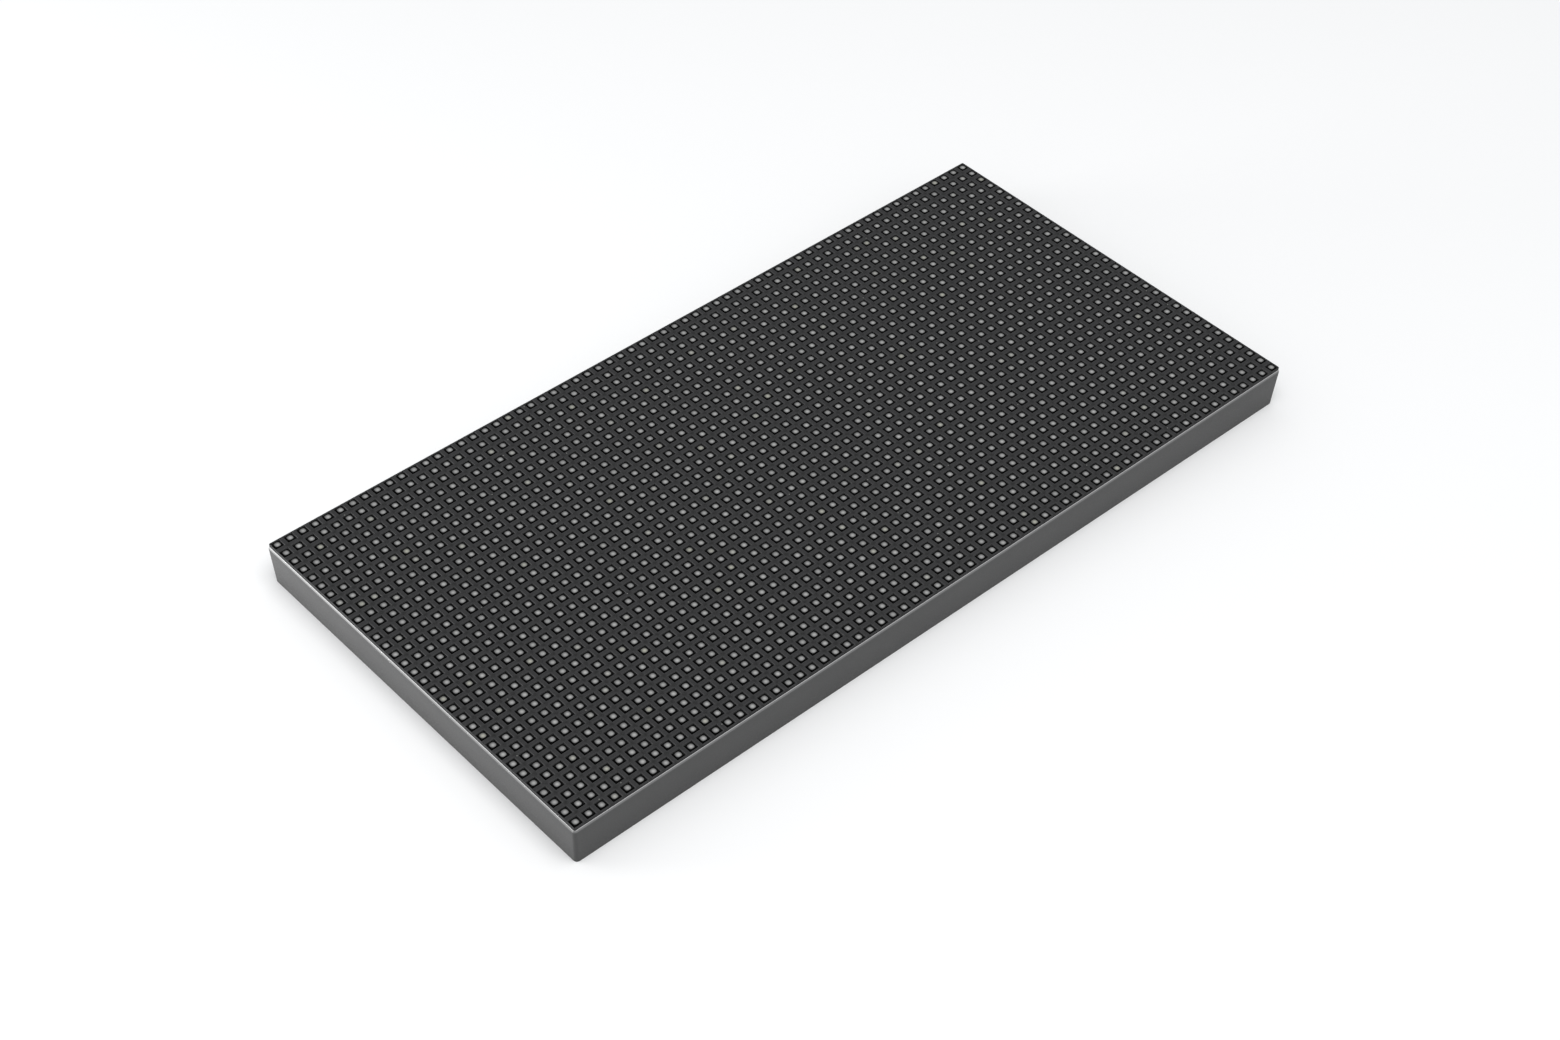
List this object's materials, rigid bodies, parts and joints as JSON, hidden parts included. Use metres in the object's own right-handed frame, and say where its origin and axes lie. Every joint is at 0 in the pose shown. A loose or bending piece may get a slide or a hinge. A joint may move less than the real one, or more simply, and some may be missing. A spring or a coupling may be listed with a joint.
{
  "type": "rgb led matrix panel",
  "caption": "Flat rectangular LED pixel panel: dark window mask over a lamp board in a grey ribbed frame with rear data and power headers.",
  "frame": {"origin": "middle of the rear rim's plane, under the middle of the lit face", "axes": "+X along the length, from data in to data out; +Y along the width; +Z out of the lit face"},
  "size_m": [0.256, 0.128, 0.0133],
  "materials": {
    "frame_plastic": "satin moulded grey",
    "mask_plastic": "matte dark grey",
    "led_resin": "black body, milky window",
    "board_laminate": "black solder mask on glass laminate",
    "screw_steel": "zinc plated",
    "insert_brass": "turned",
    "header_plastic": "black moulded",
    "pin_gold": "gold flashed",
    "power_nylon": "natural nylon",
    "pin_tin": "tin plated",
    "chip_epoxy": "moulded epoxy",
    "resistor_glaze": "black glaze, tinned ends",
    "capacitor_ceramic": "tan ceramic, tinned ends",
    "can_aluminium": "satin"
  },
  "bodies": {
    "root": {"rear_frame": "frame_plastic", "front_mask": "mask_plastic", "leds": "led_resin", "circuit_board": "board_laminate", "mask_screws": "screw_steel", "mounting_inserts": "insert_brass", "data_in_header": "header_plastic", "data_out_header": "header_plastic", "data_in_pins": "pin_gold", "data_out_pins": "pin_gold", "power_header": "power_nylon", "power_pins": "pin_tin", "driver_chips": "chip_epoxy", "buffer_chips": "chip_epoxy", "row_decoders": "chip_epoxy", "row_switches": "chip_epoxy", "resistor_arrays": "resistor_glaze", "chip_resistors": "resistor_glaze", "chip_capacitors": "capacitor_ceramic", "capacitor_bases": "header_plastic", "capacitor_cans": "can_aluminium"}
  },
  "joints": []
}
